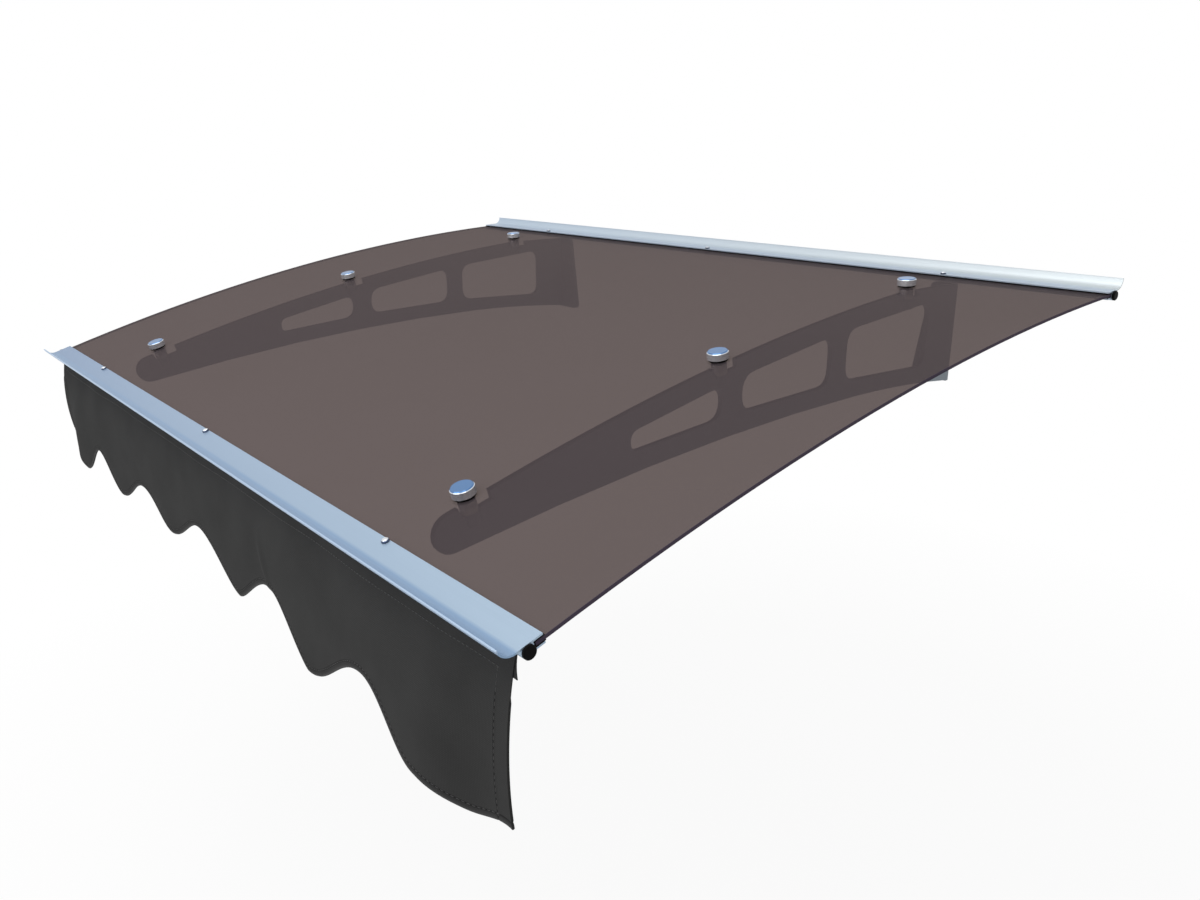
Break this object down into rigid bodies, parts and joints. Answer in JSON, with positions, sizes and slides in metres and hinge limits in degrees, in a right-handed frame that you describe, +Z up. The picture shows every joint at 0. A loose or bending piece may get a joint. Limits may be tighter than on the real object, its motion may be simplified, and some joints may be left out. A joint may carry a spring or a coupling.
{
  "type": "door canopy with a cloth valance",
  "caption": "Fixed wall-mounted door canopy: a bowed tinted clear sheet on moulded brackets, edged with aluminium bars, with a scalloped cloth valance along its front.",
  "frame": {"origin": "middle of the width, on the wall plane, level with the sheet's top face where it leaves the rear bar", "axes": "+X along the width, +Y into the wall (the wall is the plane Y = 0 and the canopy reaches to -Y), +Z up"},
  "size_m": [1.2056, 0.8435, 0.3103],
  "materials": {
    "tinted_polycarbonate": "clear brown tint, glossy",
    "aluminium_bar": "satin anodised",
    "bracket_plastic": "moulded, satin",
    "chrome_cap": "polished",
    "screw_steel": "plain",
    "black_rubber": "matte",
    "pale_nylon": "natural nylon, satin",
    "valance_cloth": "woven, matte"
  },
  "bodies": {
    "root": {"roof_sheet": "tinted_polycarbonate", "rear_bar": "aluminium_bar", "rear_gasket": "black_rubber", "rear_bar_screw_1": "screw_steel", "rear_bar_screw_2": "screw_steel", "rear_bar_screw_3": "screw_steel", "rear_bar_plug_1": "black_rubber", "rear_bar_plug_2": "black_rubber", "front_bar": "aluminium_bar", "front_gasket": "black_rubber", "front_bar_screw_1": "screw_steel", "front_bar_screw_2": "screw_steel", "front_bar_screw_3": "screw_steel", "front_bar_plug_1": "black_rubber", "front_bar_plug_2": "black_rubber", "left_bracket": "bracket_plastic", "left_rear_cap": "chrome_cap", "left_rear_washer": "black_rubber", "left_rear_spacer": "pale_nylon", "left_rear_stud": "screw_steel", "left_middle_cap": "chrome_cap", "left_middle_washer": "black_rubber", "left_middle_spacer": "pale_nylon", "left_middle_stud": "screw_steel", "left_front_cap": "chrome_cap", "left_front_washer": "black_rubber", "left_front_spacer": "pale_nylon", "left_front_stud": "screw_steel", "right_bracket": "bracket_plastic", "right_rear_cap": "chrome_cap", "right_rear_washer": "black_rubber", "right_rear_spacer": "pale_nylon", "right_rear_stud": "screw_steel", "right_middle_cap": "chrome_cap", "right_middle_washer": "black_rubber", "right_middle_spacer": "pale_nylon", "right_middle_stud": "screw_steel", "right_front_cap": "chrome_cap", "right_front_washer": "black_rubber", "right_front_spacer": "pale_nylon", "right_front_stud": "screw_steel", "valance": "valance_cloth", "valance_rod": "screw_steel"}
  },
  "joints": []
}
